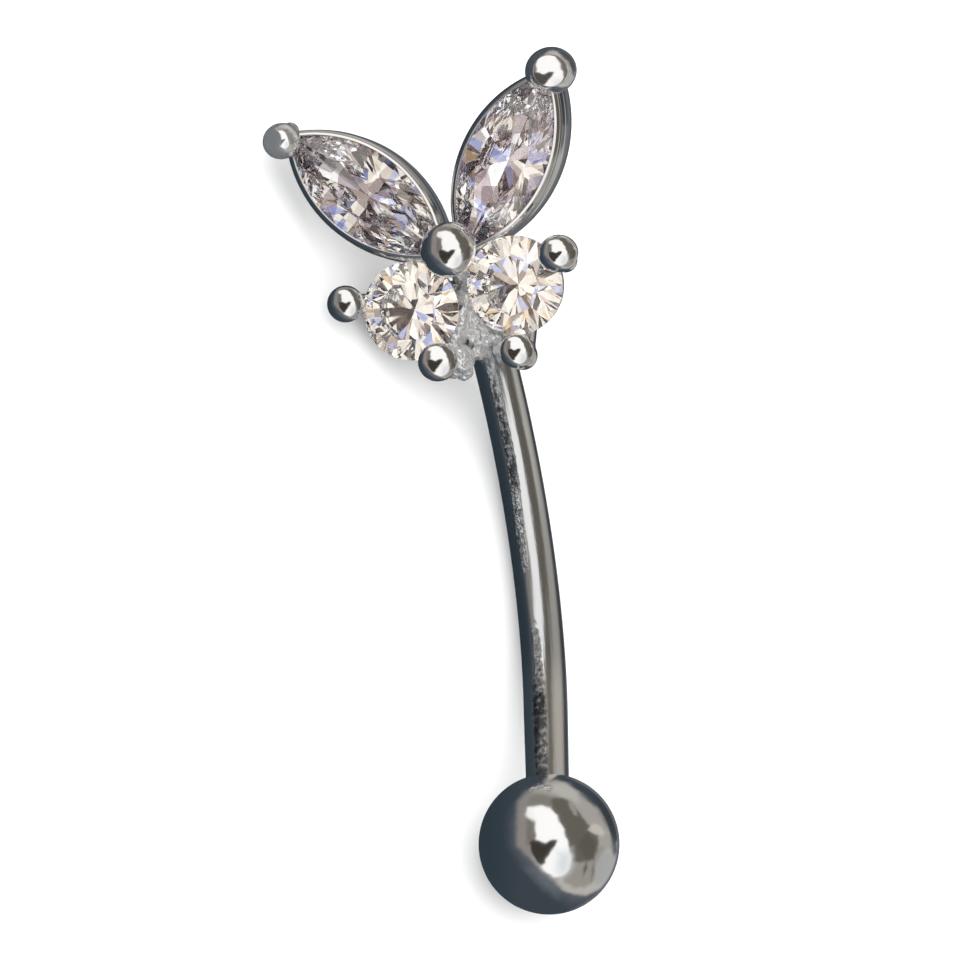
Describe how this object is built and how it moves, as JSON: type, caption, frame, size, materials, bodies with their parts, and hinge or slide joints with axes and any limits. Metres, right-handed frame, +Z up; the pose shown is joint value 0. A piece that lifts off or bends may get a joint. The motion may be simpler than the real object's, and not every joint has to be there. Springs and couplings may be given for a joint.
{
  "type": "curved eyebrow barbell with a butterfly of cut stones",
  "caption": "Curved steel eyebrow barbell: marquise and round clear stones in prongs form a butterfly at one end, with a screw-on ball at the other.",
  "frame": {"origin": "on the surface that the barbell lies on, under the middle of its box", "axes": "+Z up from that surface; +Y along the barbell, from the ball to the butterfly's wing tips; +X to the butterfly's raised right wing"},
  "size_m": [0.009, 0.0248, 0.0085],
  "materials": {
    "steel": "mirror-polished surgical steel, with fine scuffs on the bar and grainy solder between the settings",
    "stone": "cut and polished clear zirconia"
  },
  "bodies": {
    "barbell": {"bar_and_setting": "steel", "stone_upper_left": "stone", "stone_upper_right": "stone", "stone_lower_left": "stone", "stone_lower_right": "stone"},
    "ball": {"screw_ball": "steel"}
  },
  "joints": [
    {"name": "ball_unscrew", "type": "slide", "parent": "barbell", "child": "ball", "axis": [-0.4581, -0.8675, 0.1937], "range_m": [0, 0.0018]}
  ]
}
